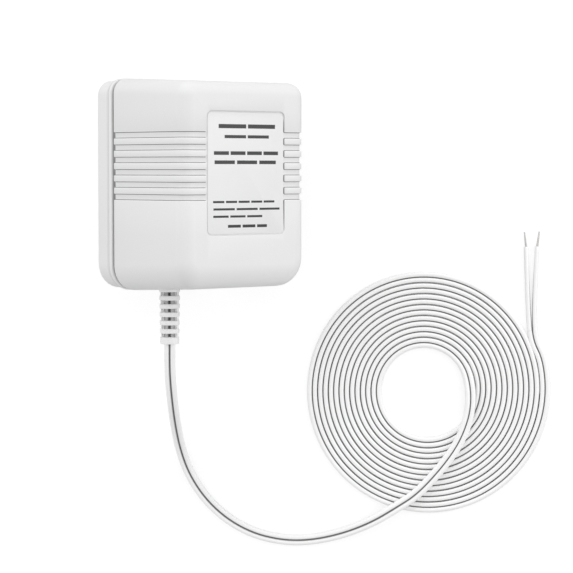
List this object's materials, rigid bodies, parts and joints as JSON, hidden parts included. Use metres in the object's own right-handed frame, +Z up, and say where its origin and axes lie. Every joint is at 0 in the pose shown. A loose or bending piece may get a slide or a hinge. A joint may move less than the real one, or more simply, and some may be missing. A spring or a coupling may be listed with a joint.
{
  "type": "doorbell transformer",
  "caption": "Plug-in doorbell transformer, unplugged and lying down: ribbed moulded housing, flat plug blades, windowed strain relief and a coiled flat twin cord with stripped ends.",
  "frame": {"origin": "on the surface that it lies on, below the middle of the box around the housing, blades and strain relief", "axes": "+Z up from the surface, +Y along the height of the housing from the cord's end to the plain end, +X from the plug side to the label side"},
  "size_m": [0.1385, 0.1475, 0.0618],
  "materials": {
    "housing": "fine satin moulding",
    "label": "matt foil",
    "blade": "nickel plated",
    "core": "laminated, varnished",
    "bobbin": "moulded nylon",
    "copper": "enamelled wire",
    "tape": "polyester film",
    "tinned_pin": "tinned",
    "inner_wire": "soft insulation",
    "sleeve": "soft moulding",
    "cord": "smooth soft insulation",
    "bare_wire": "twisted tinned copper"
  },
  "bodies": {
    "root": {"front_shell": "housing", "rear_cover": "housing", "rating_label": "label", "blade_line": "blade", "blade_neutral": "blade", "core_e_stack": "core", "core_i_stack": "core", "bobbin": "bobbin", "primary_winding": "copper", "secondary_winding": "copper", "primary_tape": "tape", "secondary_tape": "tape", "terminal_pins": "tinned_pin", "thermal_fuse": "tinned_pin", "primary_lead_line": "inner_wire", "primary_lead_neutral": "inner_wire", "secondary_lead_a": "inner_wire", "secondary_lead_b": "inner_wire", "insulation_sheet": "tape", "strain_relief": "sleeve", "cord_root": "cord", "cord_lead": "cord", "cord_coil": "cord", "cord_tail": "cord", "wire_end_a": "cord", "wire_end_b": "cord", "wire_tip_a": "bare_wire", "wire_tip_b": "bare_wire"}
  },
  "joints": []
}
